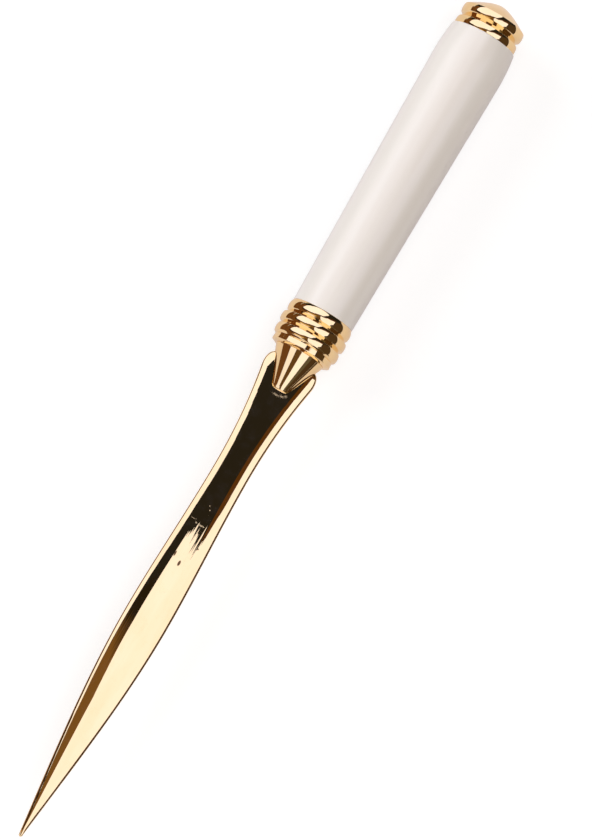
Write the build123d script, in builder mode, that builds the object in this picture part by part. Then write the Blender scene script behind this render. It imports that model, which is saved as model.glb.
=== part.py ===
from build123d import *
import math
import os

os.makedirs("parts", exist_ok=True)

# Letter opener lying flat: the long axis runs along X with the tip towards -X, and +Z is up.
# Every station below is a distance along the axis from the tip, in millimetres.

# Blade
blade_reach = 115.1
shoulder_overlap = 7.3
shoulder_round_length = 4.0
shoulder_width = 12.6
shoulder_flare_deg = 10.0
waist_from_tip = 94.5
waist_width = 8.4
belly_from_tip = 56.0
belly_width = 10.4
tip_width = 0.9
tip_flare_deg = 6.6
blade_thickness = 1.7
edge_thickness = 0.9
bevel_width = 1.2
bevel_tip_setback = 4.0
face_tip_width = 0.3

# Tang inside the handle
tang_width = 4.0
tang_length = 9.6
pin_diameter = 1.6
pin_above_shoulder = 6.0

# Nose cone
nose_length = 9.25
nose_diameter = 4.7
nose_dome = 0.6
cone_top_diameter = 12.0
shank_diameter = 6.0
shank_reach = 8.0

# Beaded ferrule
collar_length = 1.75
collar_lower_diameter = 12.5
collar_band_diameter = 14.5
collar_band_length = 1.3
bead_pitch = 2.85
lower_bead_diameter = 15.8
middle_bead_diameter = 16.2
upper_bead_diameter = 15.6
groove_diameter = 14.4
groove_wall = 0.5
bead_crown = 0.15

# Barrel and the tube inside it
barrel_length = 72.8
barrel_lower_diameter = 14.9
barrel_widest_diameter = 17.0
barrel_upper_diameter = 15.8
barrel_shoulder_length = 7.6
tube_diameter = 10.0
tube_wall = 0.5
lower_bush_length = 12.0
upper_bush_length = 10.0

# End cap
cap_bead_length = 1.9
cap_bead_diameter = 15.3
neck_length = 1.4
neck_diameter = 13.3
finial_ring_length = 1.9
finial_ring_diameter = 15.3
finial_edge_diameter = 15.0
dome_height = 3.4
dome_flat_diameter = 4.8
stud_diameter = 4.0
stud_depth_in_bush = 8.0
stud_depth_in_finial = 2.4

# Clearances
fit_gap = 0.05
glue_gap = 0.05
end_gap = 0.2

# Stations along the axis
nose_end = blade_reach
shoulder_top = nose_end + shoulder_overlap
shoulder_start = shoulder_top - shoulder_round_length
tang_end = shoulder_top + tang_length
pin_station = shoulder_top + pin_above_shoulder
ferrule_start = nose_end + nose_length
collar_top = ferrule_start + collar_length
second_bead = collar_top + bead_pitch
third_bead = second_bead + bead_pitch
barrel_start = third_bead + bead_pitch
barrel_end = barrel_start + barrel_length
barrel_widest = barrel_end - barrel_shoulder_length
neck_start = barrel_end + cap_bead_length
finial_start = neck_start + neck_length
dome_start = finial_start + finial_ring_length
overall_length = dome_start + dome_height

# The origin lies on the desk under the middle of the length, below the widest round
tip_x = -overall_length / 2
bead_diameters = (lower_bead_diameter, middle_bead_diameter, upper_bead_diameter, cap_bead_diameter)
axis_height = max(barrel_widest_diameter, finial_ring_diameter, *bead_diameters) / 2
tip_point = (tip_x, 0, axis_height)
turning_plane = Plane(origin=tip_point, x_dir=(1, 0, 0), z_dir=(0, -1, 0))
turning_axis = Axis(tip_point, (1, 0, 0))
blade_plane = Plane(origin=tip_point, x_dir=(1, 0, 0), z_dir=(0, 0, 1))


def cone_radius(station):
    """Outer radius of the nose cone at a station, on its straight flank."""
    flank_start = nose_end + nose_dome
    share = (station - flank_start) / (ferrule_start - flank_start)
    return nose_diameter / 2 + share * (cone_top_diameter - nose_diameter) / 2


def flow(start, start_slope, finish, finish_slope):
    """Smooth edge between two outline points that leaves and arrives at the given slopes."""
    third = (finish[0] - start[0]) / 3
    Bezier(
        start,
        (start[0] + third, start[1] + start_slope * third),
        (finish[0] - third, finish[1] - finish_slope * third),
        finish,
    )


def blade_outline(inset, tip_start, tip_half, top_inset):
    """Outline of the blade, drawn inset from the widest edge, as half above the axis and mirrored."""
    flare = math.tan(math.radians(shoulder_flare_deg))
    tip_flare = math.radians(tip_flare_deg)
    tip_round = tip_half * (1 - math.sin(tip_flare)) / math.cos(tip_flare)
    tip_corner = (tip_start + tip_round, tip_half)
    belly = (belly_from_tip, belly_width / 2 - inset)
    waist = (waist_from_tip, waist_width / 2 - inset)
    shoulder = (shoulder_start, shoulder_width / 2 - inset)
    top_station = shoulder_top - top_inset
    top_corner = (top_station, cone_radius(shoulder_top) - top_inset)
    with BuildLine() as outline:
        TangentArc((tip_start, 0), tip_corner, tangent=(0, 1))
        flow(tip_corner, math.tan(tip_flare), belly, 0)
        flow(belly, 0, waist, 0)
        flow(waist, 0, shoulder, flare)
        TangentArc(shoulder, top_corner, tangent=(1, flare))
        Line(top_corner, (top_station, 0))
        mirror(about=Plane.XZ)
    make_face(outline.edges())


def turned_sleeve(start, finish, outer_diameter, inner_diameter):
    """Plain turned tube or rod between two stations; an inner diameter of 0 gives a rod."""
    with BuildSketch(turning_plane) as section:
        with Locations(((start + finish) / 2, (outer_diameter + inner_diameter) / 4)):
            Rectangle(finish - start, (outer_diameter - inner_diameter) / 2)
    revolve(section.sketch, axis=turning_axis)


def bead(start, start_radius, crest_diameter, finish, finish_radius):
    """Rounded bead of a turned profile between two stations."""
    crest = ((start + finish) / 2, crest_diameter / 2)
    ThreePointArc((start, start_radius), crest, (finish, finish_radius))


def grooved_bead(start, start_radius, crest_diameter, finish, finish_radius):
    """Bead with a sloping wall at each side, so that two of them meet in a V groove."""
    edge_radius = crest_diameter / 2 - bead_crown
    Line((start, start_radius), (start + groove_wall, edge_radius))
    bead(start + groove_wall, edge_radius, crest_diameter, finish - groove_wall, edge_radius)
    Line((finish - groove_wall, edge_radius), (finish, finish_radius))


# Blade: a flat face each side, a bevel all round it down to a blunt edge, and the tang
with BuildPart() as blade:
    with BuildSketch(blade_plane.offset(-edge_thickness / 2)):
        blade_outline(0, 0, tip_width / 2, 0)
    extrude(amount=edge_thickness)
    for side in (1, -1):
        with BuildSketch(blade_plane.offset(side * edge_thickness / 2)):
            blade_outline(0, 0, tip_width / 2, 0)
        with BuildSketch(blade_plane.offset(side * blade_thickness / 2)):
            blade_outline(bevel_width, bevel_tip_setback, face_tip_width / 2, bevel_width / 2)
        loft(ruled=True)
    with BuildSketch(blade_plane.offset(-blade_thickness / 2)):
        with Locations(((shoulder_start + tang_end) / 2, 0)):
            Rectangle(tang_end - shoulder_start, tang_width)
    extrude(amount=blade_thickness)
    with BuildSketch(blade_plane.offset(-blade_thickness / 2)):
        with Locations((pin_station, 0)):
            Circle(pin_diameter / 2 + fit_gap)
    extrude(amount=blade_thickness, mode=Mode.SUBTRACT)
blade.part.label = "blade"
export_step(blade.part, "parts/blade.step")

# Nose cone: a cone with a domed end on a plain shank, slotted for the blade and its tang
slot_thickness = blade_thickness + 2 * fit_gap
shank_end = barrel_start + shank_reach
with BuildPart() as nose_cone:
    with BuildSketch(turning_plane):
        with BuildLine():
            nose_corner = (nose_end + nose_dome, nose_diameter / 2)
            TangentArc((nose_end, 0), nose_corner, tangent=(0, 1))
            Line(nose_corner, (ferrule_start, cone_top_diameter / 2))
            Line((ferrule_start, cone_top_diameter / 2), (ferrule_start, shank_diameter / 2))
            Line((ferrule_start, shank_diameter / 2), (shank_end, shank_diameter / 2))
            Line((shank_end, shank_diameter / 2), (shank_end, 0))
            Line((shank_end, 0), (nose_end, 0))
        make_face()
    revolve(axis=turning_axis)
    with BuildSketch(blade_plane.offset(-slot_thickness / 2)):
        slot_length = shoulder_top + end_gap - nose_end
        with Locations((nose_end + slot_length / 2, 0)):
            Rectangle(slot_length, 2 * cone_top_diameter)
        tang_slot_length = tang_end + end_gap - nose_end
        with Locations((nose_end + tang_slot_length / 2, 0)):
            Rectangle(tang_slot_length, tang_width + 2 * fit_gap)
    extrude(amount=slot_thickness, mode=Mode.SUBTRACT)
    with BuildSketch(blade_plane):
        with Locations((pin_station, 0)):
            Circle(pin_diameter / 2 + fit_gap)
    extrude(amount=shank_diameter, both=True, mode=Mode.SUBTRACT)
nose_cone.part.label = "nose_cone"
export_step(nose_cone.part, "parts/nose_cone.step")

# Tang pin: crosses the shank and the tang, ends just inside the shank
with BuildPart() as tang_pin:
    with BuildSketch(blade_plane):
        with Locations((pin_station, 0)):
            Circle(pin_diameter / 2)
    extrude(amount=shank_diameter / 2 - end_gap, both=True)
tang_pin.part.label = "tang_pin"
export_step(tang_pin.part, "parts/tang_pin.step")

# Beaded ferrule: a chamfered collar band and three beads, bored for the shank
with BuildPart() as beaded_ferrule:
    with BuildSketch(turning_plane):
        with BuildLine():
            bore_radius = shank_diameter / 2 + fit_gap
            collar_radius = collar_band_diameter / 2
            band_start = collar_top - collar_band_length
            groove_radius = groove_diameter / 2
            top_radius = barrel_lower_diameter / 2
            Line((ferrule_start, bore_radius), (ferrule_start, collar_lower_diameter / 2))
            Line((ferrule_start, collar_lower_diameter / 2), (band_start, collar_radius))
            Line((band_start, collar_radius), (collar_top, collar_radius))
            grooved_bead(collar_top, collar_radius, lower_bead_diameter, second_bead, groove_radius)
            grooved_bead(second_bead, groove_radius, middle_bead_diameter, third_bead, groove_radius)
            grooved_bead(third_bead, groove_radius, upper_bead_diameter, barrel_start, top_radius)
            Line((barrel_start, top_radius), (barrel_start, bore_radius))
            Line((barrel_start, bore_radius), (ferrule_start, bore_radius))
        make_face()
    revolve(axis=turning_axis)
beaded_ferrule.part.label = "beaded_ferrule"
export_step(beaded_ferrule.part, "parts/beaded_ferrule.step")

# Barrel: widens from the ferrule, then rounds in to the cap; bored for the tube
with BuildPart() as barrel:
    with BuildSketch(turning_plane):
        with BuildLine():
            barrel_bore = tube_diameter / 2 + glue_gap
            lower_corner = (barrel_start, barrel_lower_diameter / 2)
            widest_corner = (barrel_widest, barrel_widest_diameter / 2)
            upper_corner = (barrel_end, barrel_upper_diameter / 2)
            Line(lower_corner, widest_corner)
            TangentArc(widest_corner, upper_corner, tangent=(1, 0))
            Line(upper_corner, (barrel_end, barrel_bore))
            Line((barrel_end, barrel_bore), (barrel_start, barrel_bore))
            Line((barrel_start, barrel_bore), lower_corner)
        make_face()
    revolve(axis=turning_axis)
barrel.part.label = "barrel"
export_step(barrel.part, "parts/barrel.step")

# Liner tube: runs the whole length of the barrel
tube_bore = tube_diameter - 2 * tube_wall
with BuildPart() as liner_tube:
    turned_sleeve(barrel_start, barrel_end, tube_diameter, tube_bore)
liner_tube.part.label = "liner_tube"
export_step(liner_tube.part, "parts/liner_tube.step")

# Lower bush: fills the lower end of the tube and takes the shank
bush_diameter = tube_bore - 2 * fit_gap
with BuildPart() as lower_bush:
    lower_bush_end = barrel_start + lower_bush_length
    turned_sleeve(barrel_start, lower_bush_end, bush_diameter, shank_diameter + 2 * fit_gap)
lower_bush.part.label = "lower_bush"
export_step(lower_bush.part, "parts/lower_bush.step")

# Upper bush: fills the upper end of the tube and takes the stud
stud_bore = stud_diameter + 2 * fit_gap
with BuildPart() as upper_bush:
    turned_sleeve(barrel_end - upper_bush_length, barrel_end, bush_diameter, stud_bore)
upper_bush.part.label = "upper_bush"
export_step(upper_bush.part, "parts/upper_bush.step")

# Cap ring: a bead that seats on the barrel, and a V-shaped neck above it
with BuildPart() as cap_ring:
    with BuildSketch(turning_plane):
        with BuildLine():
            edge_radius = finial_edge_diameter / 2
            neck_middle = ((neck_start + finial_start) / 2, neck_diameter / 2)
            Line((barrel_end, stud_bore / 2), (barrel_end, edge_radius))
            bead(barrel_end, edge_radius, cap_bead_diameter, neck_start, edge_radius)
            Line((neck_start, edge_radius), neck_middle)
            Line(neck_middle, (finial_start, edge_radius))
            Line((finial_start, edge_radius), (finial_start, stud_bore / 2))
            Line((finial_start, stud_bore / 2), (barrel_end, stud_bore / 2))
        make_face()
    revolve(axis=turning_axis)
cap_ring.part.label = "cap_ring"
export_step(cap_ring.part, "parts/cap_ring.step")

# Finial: a ring with a domed end, with a blind hole for the stud
with BuildPart() as finial:
    with BuildSketch(turning_plane):
        with BuildLine():
            hole_end = finial_start + stud_depth_in_finial + end_gap
            dome_edge = (dome_start, finial_edge_diameter / 2)
            dome_bend = (overall_length, dome_flat_diameter / 2)
            Line((finial_start, stud_bore / 2), (finial_start, finial_edge_diameter / 2))
            bead(finial_start, finial_edge_diameter / 2, finial_ring_diameter, *dome_edge)
            Bezier(dome_edge, dome_bend, (overall_length, 0))
            Line((overall_length, 0), (hole_end, 0))
            Line((hole_end, 0), (hole_end, stud_bore / 2))
            Line((hole_end, stud_bore / 2), (finial_start, stud_bore / 2))
        make_face()
    revolve(axis=turning_axis)
finial.part.label = "finial"
export_step(finial.part, "parts/finial.step")

# Finial stud: joins the finial to the upper bush
with BuildPart() as finial_stud:
    turned_sleeve(
        barrel_end - stud_depth_in_bush, finial_start + stud_depth_in_finial, stud_diameter, 0
    )
finial_stud.part.label = "finial_stud"
export_step(finial_stud.part, "parts/finial_stud.step")

print("overall length", round(overall_length, 2), "mm, axis height", axis_height, "mm")
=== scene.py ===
# %% [markdown]
# # A gilt letter opener with a white turned handle
# The opener lies on a white table and is seen from above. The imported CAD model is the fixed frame:
# it gives the place and the size of every piece, in metres, with the long axis along X, the tip
# towards -X and the end cap towards +X. Blender adds what the CAD model doesn't hold, which is
# smooth polished surfaces, finishes and light.

import math

import bmesh
import bpy
from mathutils import Matrix, Vector
from mathutils.geometry import interpolate_bezier


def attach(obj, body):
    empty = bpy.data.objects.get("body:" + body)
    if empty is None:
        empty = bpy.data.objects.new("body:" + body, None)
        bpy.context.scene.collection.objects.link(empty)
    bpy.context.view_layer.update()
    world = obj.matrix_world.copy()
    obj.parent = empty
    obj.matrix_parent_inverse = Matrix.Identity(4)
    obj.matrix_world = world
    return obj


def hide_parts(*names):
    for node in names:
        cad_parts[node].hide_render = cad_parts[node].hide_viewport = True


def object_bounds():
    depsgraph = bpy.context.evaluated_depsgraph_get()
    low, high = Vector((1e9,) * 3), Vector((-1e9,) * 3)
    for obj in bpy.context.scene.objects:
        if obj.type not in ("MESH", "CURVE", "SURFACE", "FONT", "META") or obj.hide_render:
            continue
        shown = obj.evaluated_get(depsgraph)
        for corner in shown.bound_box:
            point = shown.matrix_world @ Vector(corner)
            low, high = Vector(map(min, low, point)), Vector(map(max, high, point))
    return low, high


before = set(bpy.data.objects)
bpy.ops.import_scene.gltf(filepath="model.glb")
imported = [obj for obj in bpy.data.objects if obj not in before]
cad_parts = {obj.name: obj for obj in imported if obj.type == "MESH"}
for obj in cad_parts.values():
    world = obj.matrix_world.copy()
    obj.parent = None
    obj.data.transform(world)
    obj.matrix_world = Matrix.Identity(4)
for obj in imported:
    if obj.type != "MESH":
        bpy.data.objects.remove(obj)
cad_low, cad_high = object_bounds()
MM = 0.001
tip_x = cad_low.x
axis_z = (cad_low.z + cad_high.z) / 2
print("CAD box in mm:", [round(v / MM, 2) for v in cad_high - cad_low])

# %% [markdown]
# ## The camera
# The photograph looks down on the opener with a long lens, a few degrees off square, so that the
# cap end lies a little farther away than the tip. A camera could be turned with Euler angles, but
# here the picture's own directions are known: the handle points 30 degrees right of straight up.
# So the camera's matrix is built from three directions: right, up and back.

# %% Place the camera
IMAGE_WIDTH, IMAGE_HEIGHT = 593, 840
FOCAL_PIXELS = 8000.0
CAMERA_DISTANCE = 1.7805
CAMERA_TILT = math.radians(9.0)
HANDLE_LEAN = math.radians(30.14)
looked_at = Vector((3.34, -6.68, 8.5)) * MM

back = Vector((-math.sin(CAMERA_TILT), 0, math.cos(CAMERA_TILT)))
along_handle = Vector((math.cos(CAMERA_TILT), 0, math.sin(CAMERA_TILT)))
across_handle = Vector((0, -1, 0))
right = along_handle * math.sin(HANDLE_LEAN) + across_handle * math.cos(HANDLE_LEAN)
up = along_handle * math.cos(HANDLE_LEAN) - across_handle * math.sin(HANDLE_LEAN)

camera_data = bpy.data.cameras.new("camera")
camera_data.sensor_width = 36.0
camera_data.lens = FOCAL_PIXELS * camera_data.sensor_width / max(IMAGE_WIDTH, IMAGE_HEIGHT)
camera_data.clip_start, camera_data.clip_end = 0.1, 50.0
camera = bpy.data.objects.new("camera", camera_data)
bpy.context.scene.collection.objects.link(camera)
camera.matrix_world = Matrix.Translation(looked_at + back * CAMERA_DISTANCE) @ Matrix(
    (right, up, back)
).transposed().to_4x4()
bpy.context.scene.camera = camera
print("camera lens", round(camera_data.lens, 1), "mm")

# %% [markdown]
# ## Helpers for turned pieces
# Ferrule, cone, barrel and cap are turned on a lathe. In Blender a lathe is the spin operator: a
# half profile is drawn in the XZ plane and spun once round the long axis. The profile itself is
# drawn like a pen stroke: a vertex is extruded for each straight run, and spun about the centre
# of each arc, so that a bead is a true circle and not a list of typed points.

# %% Pen
ARC_STEPS = 22
CORNER_STEPS = 5


def spot(station, radius):
    """Point of a profile: a distance from the tip and a radius from the long axis, in millimetres."""
    return Vector((tip_x + station * MM, 0, radius * MM))


def start_at(station, radius):
    profile = bmesh.new()
    return profile, profile.verts.new(spot(station, radius))


def line_to(profile, pen, station, radius):
    pen = bmesh.ops.extrude_vert_indiv(profile, verts=[pen])["verts"][0]
    pen.co = spot(station, radius)
    return pen


def arc_to(profile, pen, station, radius, rise):
    """Draws an arc from the pen to a point; rise is how far it bulges out from a straight line."""
    chord = spot(station, radius) - pen.co
    half = chord.length / 2
    height = rise * MM
    bend_radius = (half**2 + height**2) / (2 * height)
    outward = Vector((-chord.z, 0, chord.x)).normalized()
    centre = pen.co + chord / 2 - outward * (bend_radius - height)
    swing = 2 * math.asin(half / bend_radius)
    drawn = bmesh.ops.spin(
        profile, geom=[pen], cent=centre, axis=(0, 1, 0), angle=swing, steps=ARC_STEPS
    )
    return drawn["geom_last"][0]


def round_corners(profile, corners, size):
    bmesh.ops.bevel(
        profile, geom=corners, offset=size * MM, offset_type="OFFSET", segments=CORNER_STEPS,
        profile=0.5, affect="VERTICES", material=-1,
    )


def close(profile, pen, first):
    profile.edges.new((pen, first))


print("pen draws an arc in", ARC_STEPS, "steps and a round corner in", CORNER_STEPS)

# %% Lathe
TURN_STEPS = 200
SHARP_ANGLE = math.radians(32)


def set_creases(shape):
    """Smooth shading everywhere, with a crease where two faces meet at a real corner."""
    for face in shape.faces:
        face.smooth = True
    for edge in shape.edges:
        edge.smooth = edge.calc_face_angle(0.0) < SHARP_ANGLE


def new_object(name, shape):
    """Makes an object at the origin from a shape."""
    mesh = bpy.data.meshes.new(name)
    shape.to_mesh(mesh)
    shape.free()
    made = bpy.data.objects.new(name, mesh)
    bpy.context.scene.collection.objects.link(made)
    return made


def make_piece(name, shape):
    """Lifts a shape to the long axis, sets its creases and makes it an object."""
    bmesh.ops.translate(shape, verts=shape.verts, vec=(0, 0, axis_z))
    set_creases(shape)
    piece = new_object(name, shape)
    print(name, len(piece.data.polygons), "faces")
    return piece


def turn(name, profile):
    """Spins a drawn profile once round the long axis."""
    bmesh.ops.spin(
        profile, geom=profile.verts[:] + profile.edges[:], cent=(0, 0, 0), axis=(1, 0, 0),
        angle=math.tau, steps=TURN_STEPS, use_merge=True,
    )
    bmesh.ops.remove_doubles(profile, verts=profile.verts, dist=MM * 1e-4)
    bmesh.ops.recalc_face_normals(profile, faces=profile.faces)
    return make_piece(name, profile)


print("lathe turns in", TURN_STEPS, "steps")

# %% [markdown]
# ## Cutting
# The nose cone has a slot and a pin hole. They could be modelled face by face, but on the bench
# they are sawn and drilled, and the Boolean modifier does just that: a plain tool shape is taken
# away from the piece, and the result becomes its mesh.

# %% Saw and drill
DRILL_SIDES = 32


def cut(piece, tool_shape):
    """Cuts a tool shape out of a piece and keeps the result as the piece's mesh."""
    bmesh.ops.translate(tool_shape, verts=tool_shape.verts, vec=(0, 0, axis_z))
    tool = new_object("tool", tool_shape)
    step = piece.modifiers.new("bench_work", "BOOLEAN")
    step.object, step.operation, step.solver = tool, "DIFFERENCE", "EXACT"
    ready = piece.evaluated_get(bpy.context.evaluated_depsgraph_get())
    result = bpy.data.meshes.new_from_object(ready)
    piece.modifiers.clear()
    used_up = (piece.data, tool.data)
    piece.data = result
    bpy.data.objects.remove(tool)
    for mesh in used_up:
        bpy.data.meshes.remove(mesh)
    result.name = piece.name
    shape = bmesh.new()
    shape.from_mesh(result)
    set_creases(shape)
    shape.to_mesh(result)
    shape.free()
    print(piece.name, "cut,", len(result.polygons), "faces")


def block(start, finish, width, thickness):
    """Plain block on the axis between two stations, as a saw."""
    shape = bmesh.new()
    size = Matrix.Diagonal(((finish - start) * MM, width * MM, thickness * MM, 1))
    centre = Matrix.Translation((tip_x + (start + finish) / 2 * MM, 0, 0))
    bmesh.ops.create_cube(shape, size=1, matrix=centre @ size)
    return shape


def drill(station, diameter, depth):
    """Upright round tool through the axis."""
    shape = bmesh.new()
    bmesh.ops.create_cone(
        shape, cap_ends=True, segments=DRILL_SIDES, radius1=diameter / 2 * MM, radius2=diameter / 2 * MM,
        depth=depth * MM, matrix=Matrix.Translation((tip_x + station * MM, 0, 0)),
    )
    return shape


print("drill with", DRILL_SIDES, "sides")

# %% [markdown]
# ## Beaded ferrule
# Below the barrel sits a polished ferrule with three beads over a chamfered collar band. Each bead is
# gently crowned, and two of them meet in a V groove, whose walls mirror each other and glow orange.
# A torus for each bead would leave seams and would have no such walls, so the whole ferrule is one
# profile with a bore for the shank. A support point next to a small round keeps the long face beside
# it from shading as if it were bent.

# %% Turn the ferrule
FERRULE_START, COLLAR_TOP, BEAD_PITCH = 124.35, 126.1, 2.85
COLLAR_RADIUS, BAND_START, BAND_RADIUS, BAND_FLARE = 6.25, 124.8, 7.28, 0.07
GROOVE_RADIUS, GROOVE_WALL, BEAD_CROWN, COLLAR_GROOVE = 7.2, 0.5, 0.15, 0.1
BEAD_CRESTS = (7.9, 8.1, 7.8)
BARREL_START, BARREL_START_RADIUS = 134.65, 7.45
SHANK_BORE = 3.05
JOINT_ROUND, SHOULDER_ROUND, SUPPORT = 0.12, 0.09, 0.2

ferrule_profile, first = start_at(FERRULE_START, SHANK_BORE)
pen = collar_foot = line_to(ferrule_profile, first, FERRULE_START, COLLAR_RADIUS)
pen = band_foot = line_to(ferrule_profile, pen, BAND_START, BAND_RADIUS)
band_head = COLLAR_TOP - COLLAR_GROOVE
band_slope = BAND_FLARE / (band_head - BAND_START)
band_head_radius = BAND_RADIUS - BAND_FLARE
pen = line_to(ferrule_profile, pen, BAND_START + SUPPORT, BAND_RADIUS - SUPPORT * band_slope)
pen = line_to(ferrule_profile, pen, band_head, band_head_radius)
pen = line_to(ferrule_profile, pen, COLLAR_TOP, band_head_radius - COLLAR_GROOVE)
bead_ends = (
    (COLLAR_TOP + BEAD_PITCH, GROOVE_RADIUS),
    (COLLAR_TOP + 2 * BEAD_PITCH, GROOVE_RADIUS),
    (BARREL_START, BARREL_START_RADIUS),
)
shoulders = []
bead_start = COLLAR_TOP
for crest, (station, radius) in zip(BEAD_CRESTS, bead_ends):
    lower = line_to(ferrule_profile, pen, bead_start + GROOVE_WALL, crest - BEAD_CROWN)
    upper = arc_to(ferrule_profile, lower, station - GROOVE_WALL, crest - BEAD_CROWN, BEAD_CROWN)
    pen = line_to(ferrule_profile, upper, station, radius)
    shoulders += [lower, upper]
    bead_start = station
ferrule_head = pen
pen = line_to(ferrule_profile, pen, BARREL_START, SHANK_BORE)
close(ferrule_profile, pen, first)
round_corners(ferrule_profile, [collar_foot, band_foot, ferrule_head], JOINT_ROUND / 2)
round_corners(ferrule_profile, shoulders, SHOULDER_ROUND)
ferrule = turn("gilt_beaded_ferrule", ferrule_profile)

# %% [markdown]
# ## Nose cone
# The cone grips the blade. It is turned with a chamfered end and a shank behind it, then slotted for
# the blade, slotted again for the narrower tang, and drilled for the pin that holds them. The chamfer
# is the pale rim at the cone's end; a full dome would show a bright dot there instead.

# %% Turn and slot the cone
NOSE_END, NOSE_DOME, NOSE_RADIUS, CONE_RADIUS = 115.1, 0.6, 2.35, 6.0
SHANK_RADIUS, SHANK_END = 3.0, 142.65
SHOULDER_TOP, TANG_END, TANG_WIDTH = 122.4, 132.0, 4.0
PIN_STATION, PIN_DIAMETER = 128.4, 1.6
BLADE_THICKNESS = 1.7
FIT_GAP, END_GAP = 0.05, 0.2

CHAMFER_LENGTH, CHAMFER_ANGLE = 0.55, math.radians(38)
flank_angle = math.atan2(CONE_RADIUS - NOSE_RADIUS, FERRULE_START - NOSE_END - NOSE_DOME)
chamfer_radius = NOSE_RADIUS + (CHAMFER_LENGTH - NOSE_DOME) * math.tan(flank_angle)
nose_face_radius = chamfer_radius - CHAMFER_LENGTH * math.tan(CHAMFER_ANGLE)

cone_profile, pen = start_at(NOSE_END, 0)
pen = nose_rim = line_to(cone_profile, pen, NOSE_END, nose_face_radius)
pen = nose_edge = line_to(cone_profile, pen, NOSE_END + CHAMFER_LENGTH, chamfer_radius)
near_radius = chamfer_radius + SUPPORT * math.tan(flank_angle)
pen = line_to(cone_profile, pen, NOSE_END + CHAMFER_LENGTH + SUPPORT, near_radius)
support_radius = CONE_RADIUS - SUPPORT * math.tan(flank_angle)
pen = line_to(cone_profile, pen, FERRULE_START - SUPPORT, support_radius)
pen = cone_lip = line_to(cone_profile, pen, FERRULE_START, CONE_RADIUS)
pen = line_to(cone_profile, pen, FERRULE_START, SHANK_RADIUS)
pen = line_to(cone_profile, pen, SHANK_END, SHANK_RADIUS)
pen = line_to(cone_profile, pen, SHANK_END, 0)
round_corners(cone_profile, [cone_lip, nose_rim], JOINT_ROUND)
round_corners(cone_profile, [nose_edge], JOINT_ROUND / 2)
cone = turn("gilt_nose_cone", cone_profile)
slot_height = BLADE_THICKNESS + 2 * FIT_GAP
cut(cone, block(NOSE_END - 1, SHOULDER_TOP + END_GAP, 4 * CONE_RADIUS, slot_height))
cut(cone, block(NOSE_END, TANG_END + END_GAP, TANG_WIDTH + 2 * FIT_GAP, slot_height))
cut(cone, drill(PIN_STATION, PIN_DIAMETER + 2 * FIT_GAP, 4 * SHANK_RADIUS))

# %% [markdown]
# ## Barrel
# The white handle is a turned rod that widens slowly towards the cap and rounds in over its last
# few millimetres. It is bored right through for the brass tube that it is glued to. Small rounds
# at both ends leave the fine dark joint lines that the photograph shows.

# %% Turn the barrel
BARREL_WIDEST, BARREL_WIDEST_RADIUS = 199.85, 8.5
BARREL_END, BARREL_END_RADIUS, BARREL_END_RISE = 207.45, 7.9, 0.15
BARREL_BORE = 5.05
barrel_slope = (BARREL_WIDEST_RADIUS - BARREL_START_RADIUS) / (BARREL_WIDEST - BARREL_START)

barrel_profile, first = start_at(BARREL_START, BARREL_BORE)
pen = barrel_foot = line_to(barrel_profile, first, BARREL_START, BARREL_START_RADIUS)
pen = line_to(barrel_profile, pen, BARREL_START + SUPPORT, BARREL_START_RADIUS + SUPPORT * barrel_slope)
pen = line_to(barrel_profile, pen, BARREL_WIDEST, BARREL_WIDEST_RADIUS)
pen = barrel_head = arc_to(barrel_profile, pen, BARREL_END, BARREL_END_RADIUS, BARREL_END_RISE)
pen = line_to(barrel_profile, pen, BARREL_END, BARREL_BORE)
close(barrel_profile, pen, first)
round_corners(barrel_profile, [barrel_foot, barrel_head], JOINT_ROUND)
barrel = turn("white_barrel", barrel_profile)

# %% [markdown]
# ## End cap
# The cap is a bead with a V-shaped neck, and over it a ring with a low domed end. Both are drawn
# with the same pen; the dome is a Bezier, because its flank is nearly straight and only its crown
# and its rim are round.

# %% Turn the cap ring
NECK_START, FINIAL_START = 209.35, 210.75
CAP_EDGE_RADIUS, CAP_RISE, NECK_RADIUS = 7.5, 0.15, 6.65
STUD_BORE = 2.05

ring_profile, first = start_at(BARREL_END, STUD_BORE)
pen = ring_foot = line_to(ring_profile, first, BARREL_END, CAP_EDGE_RADIUS)
pen = ring_head = arc_to(ring_profile, pen, NECK_START, CAP_EDGE_RADIUS, CAP_RISE)
pen = line_to(ring_profile, pen, (NECK_START + FINIAL_START) / 2, NECK_RADIUS)
pen = line_to(ring_profile, pen, FINIAL_START, CAP_EDGE_RADIUS)
pen = line_to(ring_profile, pen, FINIAL_START, STUD_BORE)
close(ring_profile, pen, first)
round_corners(ring_profile, [ring_foot, ring_head], SHOULDER_ROUND)
cap_ring = turn("gilt_cap_ring", ring_profile)

# %% Turn the finial
DOME_START, CAP_END, STUD_HOLE_END = 212.65, 216.05, 213.35
DOME_FLAT_RADIUS, DOME_POINTS = 2.4, 40

finial_profile, pen = start_at(STUD_HOLE_END, 0)
pen = line_to(finial_profile, pen, STUD_HOLE_END, STUD_BORE)
pen = line_to(finial_profile, pen, FINIAL_START, STUD_BORE)
pen = line_to(finial_profile, pen, FINIAL_START, CAP_EDGE_RADIUS)
pen = arc_to(finial_profile, pen, DOME_START, CAP_EDGE_RADIUS, CAP_RISE)
rim, crown, apex = spot(DOME_START, CAP_EDGE_RADIUS), spot(CAP_END, DOME_FLAT_RADIUS), spot(CAP_END, 0)
dome_curve = interpolate_bezier(rim, rim.lerp(crown, 2 / 3), apex.lerp(crown, 2 / 3), apex, DOME_POINTS)
for point in dome_curve[1:]:
    pen = bmesh.ops.extrude_vert_indiv(finial_profile, verts=[pen])["verts"][0]
    pen.co = point
finial = turn("gilt_finial", finial_profile)

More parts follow.
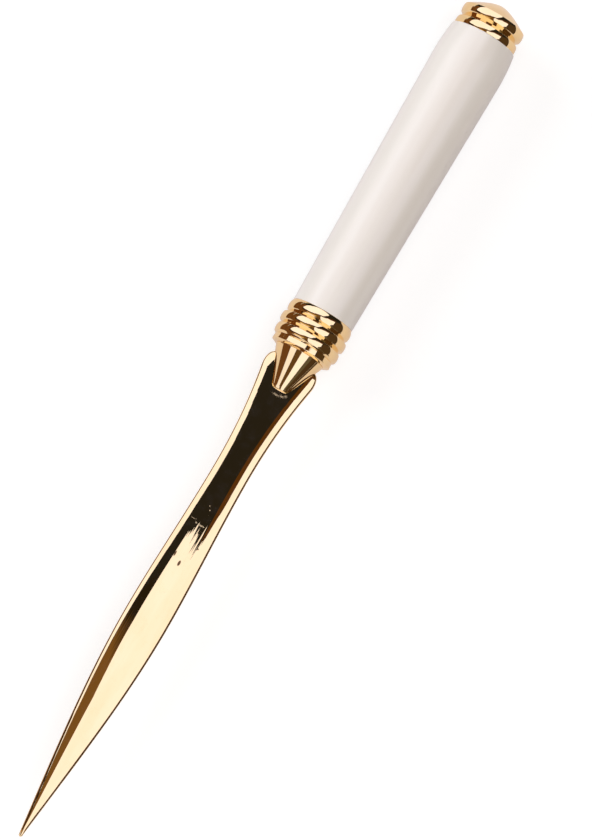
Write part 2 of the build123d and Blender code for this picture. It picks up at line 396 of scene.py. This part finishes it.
# %% [markdown]
# ## Blade
# The blade is stamped from flat stock, ground to a bevel along both edges, then buffed, so the flat
# face rolls gently over into the bevel and the outer edge is a little round. A Bevel modifier gives
# one even width, but here the bevel shrinks towards the tip. So the outline is drawn once, and its
# loop of edges is extruded several times, each time to a slightly narrower and higher outline.

# %% Draw half of the blade's outline
TIP_RADIUS, TIP_FLARE = 0.45, math.radians(6.6)
TIP_HANDLES, TIP_POINTS = ((0, 0.27), (0.18, 0.42)), 10
BELLY, WAIST, SHOULDER = (56.0, 5.2), (94.5, 4.2), (118.4, 6.3)
SHOULDER_SLOPE = math.tan(math.radians(10.0))
SHOULDER_END = (SHOULDER_TOP, 5.18)
SHOULDER_HANDLES, SHOULDER_POINTS = ((120.2, 6.617), (121.9, 6.2)), 18
FLOW_POINTS = 60


def curve(start, handles, finish, points):
    """Bezier curve between two outline points."""
    return interpolate_bezier(*[Vector((*point, 0)) for point in (start, *handles, finish)], points)


def flow(start, start_slope, finish, finish_slope):
    """Smooth edge between two outline points, leaving and arriving at the given slopes."""
    third = (finish[0] - start[0]) / 3
    near_handle = (start[0] + third, start[1] + start_slope * third)
    far_handle = (finish[0] - third, finish[1] - finish_slope * third)
    return curve(start, (near_handle, far_handle), finish, FLOW_POINTS)


tip_slope = math.tan(TIP_FLARE)
tip_corner = (TIP_RADIUS * (1 - math.sin(TIP_FLARE)), TIP_RADIUS * math.cos(TIP_FLARE))
half_outline = (
    curve((0, 0), TIP_HANDLES, tip_corner, TIP_POINTS)[:-1]
    + flow(tip_corner, tip_slope, BELLY, 0)[:-1]
    + flow(BELLY, 0, WAIST, 0)[:-1]
    + flow(WAIST, 0, SHOULDER, SHOULDER_SLOPE)[:-1]
    + curve(SHOULDER, SHOULDER_HANDLES, SHOULDER_END, SHOULDER_POINTS)
)
print("half outline", len(half_outline), "points")

# %% Whole outlines, one inside another
FULL_INSET, FULL_INSET_HALF_WIDTH = 3.1, 4.1
TIP_SET_BACK, TANG_EASING = 2.5, 0.1


def outline_points(inset, height):
    """Closed outline of the blade, drawn inset from its edge at a height above the middle plane."""
    half = []
    for point in half_outline:
        share = min(1.0, point.y / FULL_INSET_HALF_WIDTH)
        set_back = TIP_SET_BACK * inset / FULL_INSET * (1 - point.x / SHOULDER_TOP)
        half.append((point.x + set_back, point.y - inset * share))
    tang_side = TANG_WIDTH / 2 - inset * TANG_EASING
    half += [(SHOULDER_TOP, tang_side), (TANG_END - inset * TANG_EASING, tang_side)]
    whole = half + [(x, -y) for x, y in half[:0:-1]]
    return [Vector((tip_x + x * MM, y * MM, height * MM)) for x, y in whole]


def loop_edges(shape, loop):
    return [shape.edges.get(pair) for pair in zip(loop, loop[1:] + loop[:1])]


def next_loop(shape, loop, inset, height):
    """Extrudes a loop of vertices and moves the new ones to the next outline."""
    grown = set(bmesh.ops.extrude_edge_only(shape, edges=loop_edges(shape, loop))["geom"])
    upper = []
    for vert in loop:
        upper += [edge.other_vert(vert) for edge in vert.link_edges if edge.other_vert(vert) in grown]
    for vert, point in zip(upper, outline_points(inset, height)):
        vert.co = point
    return upper


print("each outline has", len(outline_points(0, 0)), "points")

# %% Skin the blade
SECTION = (
    (0.0, 0.0), (0.0, 0.139), (0.05, 0.276), (0.15, 0.395), (0.25, 0.4735), (0.4, 0.553), (0.6, 0.63),
    (0.8, 0.684), (1.0, 0.72), (1.24, 0.757), (1.43, 0.781), (1.62, 0.801), (2.0, 0.827), (2.4, 0.843),
    (2.8, 0.849), (FULL_INSET, BLADE_THICKNESS / 2),
)
blade_shape = bmesh.new()
loop = [blade_shape.verts.new(point) for point in outline_points(*SECTION[0])]
for near, far in zip(loop, loop[1:] + loop[:1]):
    blade_shape.edges.new((near, far))
for inset, height in SECTION[1:]:
    loop = next_loop(blade_shape, loop, inset, height)
pin_hole = bmesh.ops.create_circle(
    blade_shape, segments=DRILL_SIDES, radius=(PIN_DIAMETER / 2 + FIT_GAP) * MM,
    matrix=Matrix.Translation(spot(PIN_STATION, BLADE_THICKNESS / 2)),
)["verts"]
hole_edges = list(dict.fromkeys(edge for vert in pin_hole for edge in vert.link_edges))
bmesh.ops.triangle_fill(blade_shape, use_beauty=True, edges=loop_edges(blade_shape, loop) + hole_edges)
bmesh.ops.mirror(blade_shape, geom=blade_shape.faces[:] + blade_shape.edges[:] + blade_shape.verts[:],
                 axis="Z", merge_dist=MM * 1e-3)
bmesh.ops.remove_doubles(blade_shape, verts=blade_shape.verts, dist=MM * 1e-3)
bmesh.ops.bridge_loops(blade_shape, edges=[edge for edge in blade_shape.edges if edge.is_boundary])
bmesh.ops.recalc_face_normals(blade_shape, faces=blade_shape.faces)
blade = make_piece("gilt_blade", blade_shape)

# %% [markdown]
# ## Gilt
# The metal is mirror-bright gold plate. Nearly all of its look comes from what it reflects, so the
# material stays close to the plain gold colour with a very small roughness. Noise adds the faint
# unevenness of hand buffing, and a fine bump of turning lines runs round the turned pieces.

# %% Node helpers
def new_material(name):
    material = bpy.data.materials.new(name)
    material.use_nodes = True
    nodes = material.node_tree.nodes
    return material, nodes, material.node_tree.links, nodes["Principled BSDF"]


def stretched_noise(nodes, links, scale, detail):
    """Noise on Object coordinates with its own scale along each axis."""
    coordinates = nodes.new("ShaderNodeTexCoord")
    mapping = nodes.new("ShaderNodeMapping")
    mapping.inputs["Scale"].default_value = scale
    noise = nodes.new("ShaderNodeTexNoise")
    noise.inputs["Scale"].default_value = 1.0
    noise.inputs["Detail"].default_value = detail
    links.new(coordinates.outputs["Object"], mapping.inputs["Vector"])
    links.new(mapping.outputs["Vector"], noise.inputs["Vector"])
    return noise.outputs["Fac"]


def ramp(nodes, links, source, stops):
    """Colour ramp from (position, colour) stops."""
    node = nodes.new("ShaderNodeValToRGB")
    elements = node.color_ramp.elements
    while len(elements) < len(stops):
        elements.new(0.5)
    for element, (position, colour) in zip(elements, stops):
        element.position = position
        element.color = (*colour, 1)
    links.new(source, node.inputs["Fac"])
    return node.outputs["Color"]


def spread(nodes, links, source, low, high, start=0.0, finish=1.0):
    """Maps a value between start and finish to a range from low to high."""
    node = nodes.new("ShaderNodeMapRange")
    node.inputs["From Min"].default_value = start
    node.inputs["From Max"].default_value = finish
    node.inputs["To Min"].default_value = low
    node.inputs["To Max"].default_value = high
    links.new(source, node.inputs["Value"])
    return node.outputs["Result"]


def coat_with(piece, material):
    piece.data.materials.clear()
    piece.data.materials.append(material)


print("materials so far:", len(bpy.data.materials))

# %% Turned gilt
GOLD_DEEP, GOLD = (0.95, 0.71, 0.36), (0.98, 0.75, 0.4)
CLOUD_GRAIN, TURNING_GRAIN = (180, 180, 180), (9000, 60, 60)

gilt, nodes, links, shader = new_material("gilt_turned")
shader.inputs["Metallic"].default_value = 1.0
cloud = stretched_noise(nodes, links, CLOUD_GRAIN, 3)
links.new(ramp(nodes, links, cloud, ((0.35, GOLD_DEEP), (0.65, GOLD))), shader.inputs["Base Color"])
links.new(spread(nodes, links, cloud, 0.03, 0.06), shader.inputs["Roughness"])
turning = stretched_noise(nodes, links, TURNING_GRAIN, 2)
bump = nodes.new("ShaderNodeBump")
bump.inputs["Strength"].default_value = 0.02
bump.inputs["Distance"].default_value = 0.0002
links.new(turning, bump.inputs["Height"])
links.new(bump.outputs["Normal"], shader.inputs["Normal"])
for piece in (ferrule, cone, cap_ring, finial):
    coat_with(piece, gilt)
print("gilt on four turned pieces")

# %% [markdown]
# ## The used blade
# The blade has been handled: there are a few scratches and specks on its flat face, a hazy arc below
# the cone, and three dark spots. A painted image could show them, but small soft spots keep the
# finish procedural. Each is a ball-shaped gradient, stretched and moved to its place by a Mapping
# node. A scuff makes the gold rough, and a dark spot changes its colour.

# %% Spots on the blade
SCRATCHES = ((80.6, 2.3, 0.45, 2.0), (79.9, -0.23, 0.45, 1.8), (80.0, 1.1, 0.5, 0.5), (84.7, 0.4, 0.4, 0.4),
             (83.9, -0.15, 0.4, 0.4))
HAZE_ARC = ((113.85, 0.1, 0.9, 3.4), (114.1, -1.2, 1.0, 2.2), (114.55, -2.0, 1.2, 1.3))
TARNISH_SPOTS = ((70.2, -0.1, 1.6, 0.7), (75.0, -2.2, 0.5, 0.4), (71.7, 1.75, 1.6, 0.45))
SCUFF_STRENGTH, TARNISH_STRENGTH = 0.5, 3.0


def spot_mask(nodes, links, station, across, length, width):
    """Soft spot on the upper face: 1 in the middle and 0 at its edge, sizes in millimetres."""
    coordinates = nodes.new("ShaderNodeTexCoord")
    mapping = nodes.new("ShaderNodeMapping")
    mapping.vector_type = "TEXTURE"
    place = spot(station, BLADE_THICKNESS / 2) + Vector((0, across * MM, axis_z))
    mapping.inputs["Location"].default_value = place
    mapping.inputs["Scale"].default_value = (length / 2 * MM, width / 2 * MM, MM)
    ball = nodes.new("ShaderNodeTexGradient")
    ball.gradient_type = "SPHERICAL"
    links.new(coordinates.outputs["Object"], mapping.inputs["Vector"])
    links.new(mapping.outputs["Vector"], ball.inputs["Vector"])
    return ball.outputs["Fac"]


def together(nodes, links, masks, strength):
    """The strongest of several masks, made stronger or weaker and kept between 0 and 1."""
    result = masks[0]
    for mask in masks[1:]:
        node = nodes.new("ShaderNodeMath")
        node.operation = "MAXIMUM"
        links.new(result, node.inputs[0])
        links.new(mask, node.inputs[1])
        result = node.outputs["Value"]
    level = nodes.new("ShaderNodeMath")
    level.operation, level.use_clamp = "MULTIPLY", True
    level.inputs[1].default_value = strength
    links.new(result, level.inputs[0])
    return level.outputs["Value"]


blade_gilt, nodes, links, shader = new_material("gilt_blade")
shader.inputs["Metallic"].default_value = 1.0
scuff_masks = [spot_mask(nodes, links, *place) for place in SCRATCHES + HAZE_ARC]
scuffs = together(nodes, links, scuff_masks, SCUFF_STRENGTH)
tarnish_masks = [spot_mask(nodes, links, *place) for place in TARNISH_SPOTS]
tarnish = together(nodes, links, tarnish_masks, TARNISH_STRENGTH)
print(len(scuff_masks), "scuffs and", len(tarnish_masks), "dark spots")

# %% [markdown]
# ## The blade's plate
# The plate has the same two golds as the turned pieces, but its clouds and its buffing lines run along
# the blade. A thin uneven film of grease lies on it: a weak, rough coat that comes and goes with
# another noise.

# %% Plate, buffing and film
TARNISH, FILM_TINT = (0.11, 0.06, 0.025, 1), (1, 0.9, 0.75, 1)
PLATE_GRAIN, BUFFING_GRAIN, FILM_GRAIN = (60, 300, 60), (120, 6000, 60), (500, 500, 60)
BUFFED_LEAST, BUFFED_MOST, SCUFF_ROUGHNESS = 0.004, 0.016, 0.45
FILM_WEIGHT, FILM_START, FILM_FULL = 0.16, 0.5, 0.7

cloud = stretched_noise(nodes, links, PLATE_GRAIN, 3)
plate = ramp(nodes, links, cloud, ((0.35, GOLD_DEEP), (0.65, GOLD)))
spotted = nodes.new("ShaderNodeMix")
spotted.data_type = "RGBA"
spotted.inputs["B"].default_value = TARNISH
links.new(tarnish, spotted.inputs["Factor"])
links.new(plate, spotted.inputs["A"])
links.new(spotted.outputs["Result"], shader.inputs["Base Color"])

buffing = stretched_noise(nodes, links, BUFFING_GRAIN, 4)
rubbed = nodes.new("ShaderNodeMath")
rubbed.operation = "MULTIPLY_ADD"
rubbed.inputs[1].default_value = SCUFF_ROUGHNESS
links.new(scuffs, rubbed.inputs[0])
links.new(spread(nodes, links, buffing, BUFFED_LEAST, BUFFED_MOST), rubbed.inputs[2])
links.new(rubbed.outputs["Value"], shader.inputs["Roughness"])

film = stretched_noise(nodes, links, FILM_GRAIN, 4)
patches = spread(nodes, links, film, 0.0, FILM_WEIGHT, FILM_START, FILM_FULL)
links.new(patches, shader.inputs["Coat Weight"])
shader.inputs["Coat Roughness"].default_value = 0.45
shader.inputs["Coat Tint"].default_value = FILM_TINT
print("blade colour from", TARNISH[:3], "to", GOLD)

# %% [markdown]
# ## The blade's wavy face
# The buffing wheel has left the flat face slightly crowned and wavy, so a bright reflection ends in a
# ragged line. Both are far too shallow to model, a fraction of a degree, so the shader's normal is
# leaned by them: a noise with long thin cells leans it along the blade, and the distance from the
# middle line leans it across.

# %% Crown and waves
WAVE_GRAIN, WAVE_TILT = (60, 3500, 60), 0.009
CROWN_REACH, CROWN_TILT = 1.2 * MM, 0.0048

surface = nodes.new("ShaderNodeNewGeometry")
place = nodes.new("ShaderNodeTexCoord")
sides = nodes.new("ShaderNodeSeparateXYZ")
links.new(place.outputs["Object"], sides.inputs["Vector"])
waves = spread(nodes, links, stretched_noise(nodes, links, WAVE_GRAIN, 2), -WAVE_TILT, WAVE_TILT)
crowning = spread(nodes, links, sides.outputs["Y"], -CROWN_TILT, CROWN_TILT, -CROWN_REACH, CROWN_REACH)
lean = nodes.new("ShaderNodeCombineXYZ")
links.new(waves, lean.inputs["X"])
links.new(crowning, lean.inputs["Y"])
leaned = nodes.new("ShaderNodeVectorMath")
links.new(surface.outputs["Normal"], leaned.inputs[0])
links.new(lean.outputs["Vector"], leaned.inputs[1])
unit = nodes.new("ShaderNodeVectorMath")
unit.operation = "NORMALIZE"
links.new(leaned.outputs["Vector"], unit.inputs[0])
links.new(unit.outputs["Vector"], shader.inputs["Normal"])
coat_with(blade, blade_gilt)
print("gilt on the blade, with", len(nodes), "nodes")

# %% [markdown]
# ## White barrel
# The handle is glossy off-white acrylic with a faint pearl figure that runs along it. A clear coat
# gives the sharp reflection over the softer body colour.

# %% Acrylic
PEARL_GRAIN = (9, 260, 260)
PEARL_STOPS = ((0.3, (0.89, 0.84, 0.80)), (0.55, (0.925, 0.885, 0.85)), (0.75, (0.935, 0.90, 0.87)))

acrylic, nodes, links, shader = new_material("white_acrylic")
pearl = stretched_noise(nodes, links, PEARL_GRAIN, 4)
links.new(ramp(nodes, links, pearl, PEARL_STOPS), shader.inputs["Base Color"])
shader.inputs["Roughness"].default_value = 0.3
shader.inputs["Specular IOR Level"].default_value = 0.35
shader.inputs["Coat Weight"].default_value = 0.5
shader.inputs["Coat Roughness"].default_value = 0.06
coat_with(barrel, acrylic)
print("acrylic on the barrel, with", len(nodes), "nodes")

# %% [markdown]
# ## Pieces inside the handle
# Tube, bushes, stud and pin are hidden, but they belong to the object and show when it is taken
# apart. Their CAD meshes are already right, so they only get plain turned brass and drawn steel.

# %% Brass and steel for the hidden pieces
BENCH_GRAIN = (4000, 300, 300)


def bench_metal(name, dark, light, roughness):
    material, nodes, links, shader = new_material(name)
    shader.inputs["Metallic"].default_value = 1.0
    grain = stretched_noise(nodes, links, BENCH_GRAIN, 3)
    links.new(ramp(nodes, links, grain, ((0.3, dark), (0.7, light))), shader.inputs["Base Color"])
    links.new(spread(nodes, links, grain, roughness * 0.7, roughness * 1.3), shader.inputs["Roughness"])
    return material


plain_brass = bench_metal("plain_brass", (0.70, 0.53, 0.25), (0.80, 0.64, 0.34), 0.3)
pin_steel = bench_metal("pin_steel", (0.55, 0.55, 0.56), (0.66, 0.66, 0.68), 0.25)
hidden = {"liner_tube": plain_brass, "lower_bush": plain_brass, "upper_bush": plain_brass,
          "finial_stud": plain_brass, "tang_pin": pin_steel}
for node, material in hidden.items():
    coat_with(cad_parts[node], material)
print("hidden pieces finished:", ", ".join(hidden))

# %% [markdown]
# ## Fit the pieces to the frame
# Each new piece rides on the CAD body and stands for the CAD node it was made from.

# %% Ride and replace
for piece, node, slot in (
    (blade, "blade", "gilt"), (cone, "nose_cone", "gilt"), (ferrule, "beaded_ferrule", "gilt"),
    (cap_ring, "cap_ring", "gilt"), (finial, "finial", "gilt"), (barrel, "barrel", "white_acrylic"),
):
    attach(piece, "root")
    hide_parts(node)
    print(piece.name, "stands for", node)

# %% [markdown]
# ## Table
# The table is a large white sheet. The camera sees it as white paper and the polished metal as
# slightly warm paper: a part of its white is its own glow for those rays, and the rest is light
# that the object can shade, so a soft shadow stays.

# %% White table
TABLE_SIZE = 12
PAPER = (0.45, 0.45, 0.45, 1)
GLOW_FOR_METAL, GLOW_FOR_CAMERA = (0.42, 0.35, 0.37, 1), (0.69, 0.69, 0.7, 1)
SEEN_BY = ("Is Camera Ray", "Is Glossy Ray", "Is Transmission Ray")

floor_shape = bmesh.new()
bmesh.ops.create_grid(floor_shape, x_segments=1, y_segments=1, size=TABLE_SIZE)
floor = new_object("table", floor_shape)

paper, nodes, links, shader = new_material("white_paper")
shader.inputs["Base Color"].default_value = PAPER
shader.inputs["Roughness"].default_value = 1.0
shader.inputs["Specular IOR Level"].default_value = 0.0
path = nodes.new("ShaderNodeLightPath")
glow_colour = nodes.new("ShaderNodeMix")
glow_colour.data_type = "RGBA"
glow_colour.inputs["A"].default_value = GLOW_FOR_METAL
glow_colour.inputs["B"].default_value = GLOW_FOR_CAMERA
links.new(path.outputs["Is Camera Ray"], glow_colour.inputs["Factor"])
links.new(glow_colour.outputs["Result"], shader.inputs["Emission Color"])
seen = together(nodes, links, [path.outputs[ray] for ray in SEEN_BY], 1.0)
links.new(seen, shader.inputs["Emission Strength"])
coat_with(floor, paper)
print("table of", 2 * TABLE_SIZE, "m")

# %% [markdown]
# ## What the gold reflects
# Polished gold shows the studio: a large softbox over the left and the top, a tall one right of the
# camera, a warmer one left of it, and darkness between them. Each is a plain glowing card about a
# metre away, which only reflections see. A card's corners are given as seen from the ferrule:
# degrees to the right of straight up, and degrees towards the cap. A card that would have a deep notch
# is split into plainer ones, because Blender may fill a notch in a bent face.

# %% Card helpers
FADE_START, FADE_END = 0.863, 0.937
card_centre = Vector((tip_x + FERRULE_START * MM, 0, axis_z))


def studio_point(to_right, to_cap):
    """Point a metre away in a direction seen from the ferrule, in degrees from straight up."""
    lean = math.hypot(to_right, to_cap)
    sideways = math.sin(math.radians(lean)) / max(lean, 1e-6)
    return card_centre + Vector((to_cap * sideways, -to_right * sideways, math.cos(math.radians(lean))))


def glow(name, colour, cap_end, start, finish):
    """Glowing material of one colour, or one that fades to another towards the cap."""
    material = bpy.data.materials.new(name)
    material.use_nodes = True
    nodes, links = material.node_tree.nodes, material.node_tree.links
    nodes.clear()
    light = nodes.new("ShaderNodeEmission")
    light.inputs["Color"].default_value = (*colour, 1)
    output = nodes.new("ShaderNodeOutputMaterial")
    links.new(light.outputs["Emission"], output.inputs["Surface"])
    if cap_end:
        place = nodes.new("ShaderNodeTexCoord")
        along = nodes.new("ShaderNodeSeparateXYZ")
        links.new(place.outputs["Object"], along.inputs["Vector"])
        share = spread(nodes, links, along.outputs["X"], 0.0, 1.0, start, finish)
        fade = ramp(nodes, links, share, ((FADE_START, colour), (FADE_END, cap_end)))
        links.new(fade, light.inputs["Color"])
    return material


def glowing_card(name, points, colour, cap_end=None):
    """Card that only reflections see."""
    shape = bmesh.new()
    shape.faces.new([shape.verts.new(point) for point in points])
    card = new_object(name, shape)
    card.visible_camera = card.visible_diffuse = card.visible_shadow = False
    stations = [point.x for point in points]
    coat_with(card, glow(name, colour, cap_end, min(stations), max(stations)))
    print(name, "glows", colour)


def softbox(name, corners, colour, cap_end=None):
    glowing_card(name, [studio_point(*corner) for corner in corners], colour, cap_end)


print("cards face", [round(v / MM, 2) for v in card_centre], "mm")

# %% Softboxes
COOL_WHITE, WARM_WHITE = (1.2, 1.21, 1.56), (1.05, 1.07, 1.37)
softbox("softbox_left", ((-72, 8), (-60, 38), (-35, 58), (17, 55), (17, 43), (4.8, 15), (-12, 8.3),
                         (-22, 3.8), (-31, -1.5), (-37, -4), (-52, -3), (-64, 1)), COOL_WHITE)
softbox("softbox_right", ((-1.5, 5.4), (0.15, 5.3), (0.25, 5.1), (4, 5.2), (10, 6.6), (47, 6.6), (47, -4),
                          (40, -14), (37, -30), (33, -85), (8, -85), (3, -30), (-1.5, -10), (-3.5, -3),
                          (-2.7, 1), (-1.7, 3)), COOL_WHITE)
softbox("softbox_right_top", ((10, 6.6), (19.5, 15.7), (47, 26), (47, 6.6)), COOL_WHITE)
softbox("softbox_front", ((-20, -22), (-46, -22), (-48, -85), (-4, -85), (-23, -30)), WARM_WHITE)

# %% Dim cards between the softboxes
ORANGE, EMBER, RUST = (0.75, 0.5, 0.24), (0.19, 0.098, 0.03), (0.1, 0.04, 0.008)
GAP_BROWN, GAP_GREY = (0.125, 0.065, 0.024), (0.12, 0.105, 0.075)
NIGHT = (0.02, 0.014, 0.008)
softbox("right_border", ((1.5, 5.3), (8, 14), (19.3, 15.9), (9.8, 6.8), (4, 5.4)), RUST)
softbox("right_border_top", ((8, 14), (25, 28), (49, 41), (47, 26.2), (19.3, 15.9)), RUST)
softbox("front_top", ((-1.5, 4.2), (-1.7, 3), (-2.7, 1), (-3.5, -3), (-5, -12), (-33, -12), (-33, -3.1),
                      (-30, -2), (-20, 3), (-18, 4.2)), EMBER, NIGHT)
softbox("front_shade", ((-32.8, -12.2), (-52, -12.2), (-52, -3.5), (-37, -4.5), (-32.8, -3)), NIGHT)
softbox("front_middle", ((-13, -12), (-20, -22), (-52, -22), (-52, -12)), ORANGE)
softbox("front_gap", ((-1.5, -10), (3, -30), (8, -85), (-4, -85), (-23, -30), (-20, -22), (-13, -12),
                      (-5, -12)), GAP_BROWN)
softbox("right_gap", ((40.5, -14), (45, -14), (51, -30), (60, -60), (48, -85), (33.5, -85), (37.5, -30)),
        GAP_GREY)

# %% Walls of the studio
WALL_GREY, BROWN, UMBER = (0.45, 0.43, 0.42), (0.15, 0.064, 0.022), (0.075, 0.045, 0.022)
softbox("back_wall", ((-85, 45), (-60, 62), (18, 60), (25, 88), (-80, 88)), WALL_GREY)
softbox("front_edge", ((-46.5, -22), (-54, -22), (-60, -85), (-48.5, -85)), BROWN)
softbox("left_dark_top", ((-73, 8), (-61, 39), (-70, 45), (-88, 20), (-88, -3), (-76, -3)), BROWN)
softbox("left_dark", ((-75.5, -2.8), (-88, -2.8), (-88, -20), (-72, -60), (-56, -60), (-51.5, -22),
                      (-51.5, -12.5), (-64, -9.5)), BROWN)
softbox("left_shade", ((-51.5, -4), (-64, 0), (-73, 8), (-76, -3), (-64, -10), (-51.5, -13)), NIGHT)
softbox("right_dark", ((50, 34), (48, -4), (45.5, -14), (51.5, -30), (60.5, -60), (86, -20), (86, 20),
                       (70, 50)), UMBER)

# %% [markdown]
# ## Flags
# A photographer lays dark paper down beside bright metal to give it an edge. Two brown flags do that
# here, just above the table. The left one reaches to the horizon, so that no white line shows between
# it and the wall, and has a notch beside the cone, whose flank mirrors white paper there.

# %% Flags beside the opener
FLAG_HEIGHT = 2 * MM


def flag(name, corners, colour):
    """Flag lying beside the opener, with its corners in millimetres on the table."""
    glowing_card(name, [Vector((x * MM, y * MM, FLAG_HEIGHT)) for x, y in corners], colour)


flag("flag_left", ((150, 140), (100, 95), (45, 40), (20, 27), (12, 24), (3, 42), (-8, 68), (-16, 62),
                   (-8, 38), (-2, 22), (-4, 16), (-110, 14), (-140, 60), (-7000, 8600), (1700, 9000)),
     BROWN)
flag("flag_right", ((0, -22), (-60, -500), (-400, -400), (-160, -40), (-115, -12), (-20, -14)), UMBER)

# %% [markdown]
# ## Light on the barrel and the table
# Two large soft lamps light what isn't metal: one high on the left shapes the barrel, and a wide one
# overhead opens the shadows. The gold doesn't see them, because their edges would add reflections
# that the cards already give.

# %% Lamps
def soft_lamp(name, place, size, energy, colour):
    data = bpy.data.lights.new(name, "AREA")
    data.shape = "DISK"
    data.size = size
    data.energy = energy
    data.color = colour
    lamp = bpy.data.objects.new(name, data)
    bpy.context.scene.collection.objects.link(lamp)
    lamp.location = place
    lamp.rotation_euler = (Vector(place) - card_centre).to_track_quat("Z", "Y").to_euler()
    lamp.visible_glossy = False
    print(name, energy, "W")


soft_lamp("key", (0.1, 1.7, 0.8), 1.6, 26.5, (1, 1, 1))
soft_lamp("overhead", (0.0, -0.9, 2.3), 4.0, 63.0, (1, 0.94, 0.88))

# %% Dim room
ROOM = (0.02, 0.018, 0.016, 1)
world = bpy.data.worlds.new("dim_studio")
bpy.context.scene.world = world
world.use_nodes = True
background = world.node_tree.nodes["Background"]
background.inputs["Color"].default_value = ROOM
background.inputs["Strength"].default_value = 1.0
bpy.context.scene.view_settings.view_transform = "Standard"
print("room colour", ROOM[:3])

# %% [markdown]
# ## Bring the scene up to date
# The dressed object must fit the CAD model's box. The view layer is updated so that every piece stands in
# its final place.

# %% Update the view layer
bpy.context.view_layer.update()
